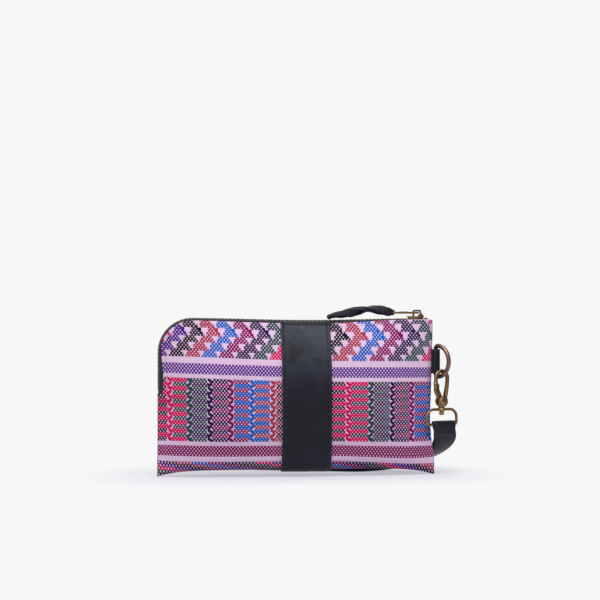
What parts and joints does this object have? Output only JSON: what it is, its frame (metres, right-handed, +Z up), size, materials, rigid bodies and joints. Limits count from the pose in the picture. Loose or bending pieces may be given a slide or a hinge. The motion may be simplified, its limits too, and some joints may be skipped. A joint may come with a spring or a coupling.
{
  "type": "zipped woven wristlet pouch",
  "caption": "Soft woven fabric pouch with a zip round one rounded corner, a leather band, and a leather wrist strap on a swivel snap hook and D-ring.",
  "frame": {"origin": "under the pouch, in the middle of its flat base, on the ground", "axes": "+X to the right seen from the front, towards the hardware; +Y to the back, where the wrist strap lies; +Z up"},
  "size_m": [0.2266, 0.0854, 0.1272],
  "materials": {
    "woven_fabric": "hand-woven brocade, slubby",
    "lining_cotton": "plain weave",
    "dark_leather": "fine grain, low sheen",
    "zip_cloth": "twill tape",
    "aged_brass": "antiqued, brushed",
    "spring_steel": "drawn wire"
  },
  "bodies": {
    "pouch": {"outer_fabric": "woven_fabric", "lining": "lining_cotton", "leather_band": "dark_leather", "zip_tape_front": "zip_cloth", "zip_tape_back": "zip_cloth", "zip_teeth_front": "aged_brass", "zip_teeth_back": "aged_brass", "zip_top_stop_front": "aged_brass", "zip_top_stop_back": "aged_brass", "zip_bottom_stop": "aged_brass", "ring_tab": "dark_leather"},
    "slider": {"zip_slider": "aged_brass"},
    "tab": {"pull_tab": "aged_brass"},
    "thong": {"pull_thong": "dark_leather"},
    "ring": {"d_ring": "aged_brass"},
    "hook": {"hook_body": "aged_brass", "gate_rivet": "aged_brass", "gate_spring": "spring_steel"},
    "gate": {"hook_gate": "aged_brass"},
    "eye": {"swivel_eye": "aged_brass"},
    "strap": {"wrist_strap": "dark_leather"}
  },
  "joints": [
    {"name": "zip_slide", "type": "slide", "parent": "pouch", "child": "slider", "axis": [-1, 0, 0.003], "range_m": [0, 0.16], "deforming": ["zip_teeth_front", "zip_teeth_back"]},
    {"name": "pull_hinge", "type": "hinge", "parent": "slider", "child": "tab", "pos_m": [0.09222, 0, 0.12188], "axis": [0, 1, 0], "range_deg": [0, 140]},
    {"name": "thong_hinge", "type": "hinge", "parent": "tab", "child": "thong", "pos_m": [0.07282, 0, 0.12194], "axis": [0, 1, 0], "range_deg": [0, 35]},
    {"name": "ring_hinge", "type": "hinge", "parent": "pouch", "child": "ring", "pos_m": [0.1062, 0, 0.0852], "axis": [0, 0, 1], "range_deg": [-10, 4]},
    {"name": "hook_swing", "type": "hinge", "parent": "ring", "child": "hook", "pos_m": [0.10984, -0.00502, 0.07419], "axis": [-0.5878, 0.809, 0], "range_deg": [-35, 0]},
    {"name": "gate_hinge", "type": "hinge", "parent": "hook", "child": "gate", "pos_m": [0.10912, -0.00535, 0.0555], "axis": [-0.4226, 0.9063, 0], "range_deg": [0, 22], "stiffness_Nm_per_rad": 0.02, "springref_deg": -28.65},
    {"name": "swivel", "type": "hinge", "parent": "hook", "child": "eye", "pos_m": [0.10984, -0.00502, 0.04909], "axis": [0, 0, 1], "range_deg": [-9, 0]},
    {"name": "strap_hinge", "type": "hinge", "parent": "eye", "child": "strap", "pos_m": [0.10984, -0.00502, 0.03769], "axis": [0.9272, 0.3746, 0], "range_deg": [0, 12]}
  ]
}
